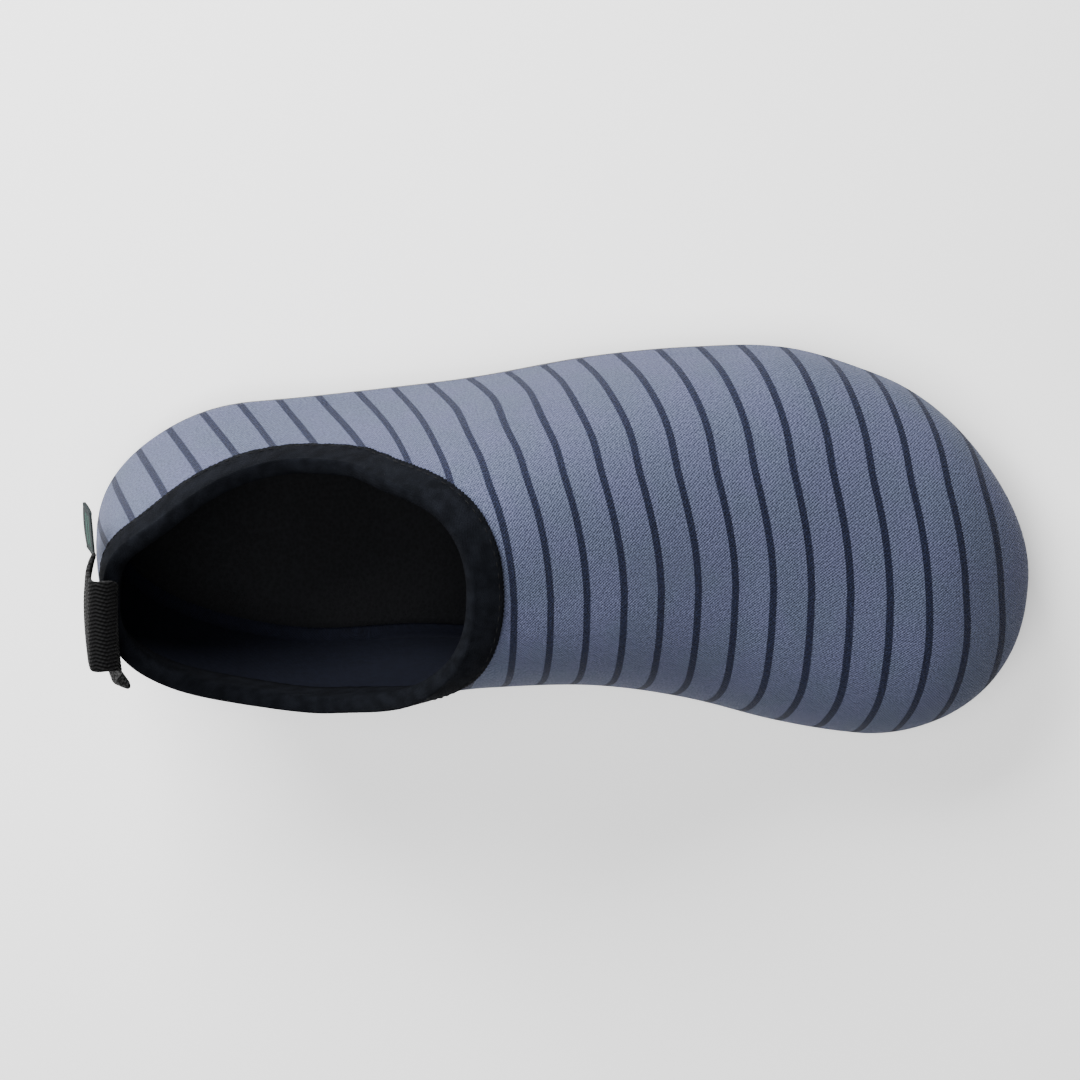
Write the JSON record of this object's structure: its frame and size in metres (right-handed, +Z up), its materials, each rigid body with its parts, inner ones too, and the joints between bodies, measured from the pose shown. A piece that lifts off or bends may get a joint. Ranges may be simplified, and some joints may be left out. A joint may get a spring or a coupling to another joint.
{
  "type": "water shoe",
  "caption": "Left slip-on water shoe with a striped stretch fabric upper, bound collar, webbing pull loop at the heel and a low grooved rubber sole.",
  "frame": {"origin": "on the ground under the middle of the heel, on the tread's flat face", "axes": "+X to the toe, +Y to the lateral side (little toe), +Z up"},
  "size_m": [0.2743, 0.1148, 0.0935],
  "materials": {
    "outsole_rubber": "matt",
    "insole_foam": "matt cloth over foam",
    "upper_fabric": "fine heathered knit with thin darker stripes",
    "binding_tape": "soft matt tape",
    "loop_webbing": "ribbed webbing",
    "tag_weave": "woven tag"
  },
  "bodies": {
    "root": {"outsole": "outsole_rubber", "insole": "insole_foam", "upper": "upper_fabric", "collar_binding": "binding_tape", "pull_loop": "loop_webbing", "heel_tag": "tag_weave"}
  },
  "joints": []
}
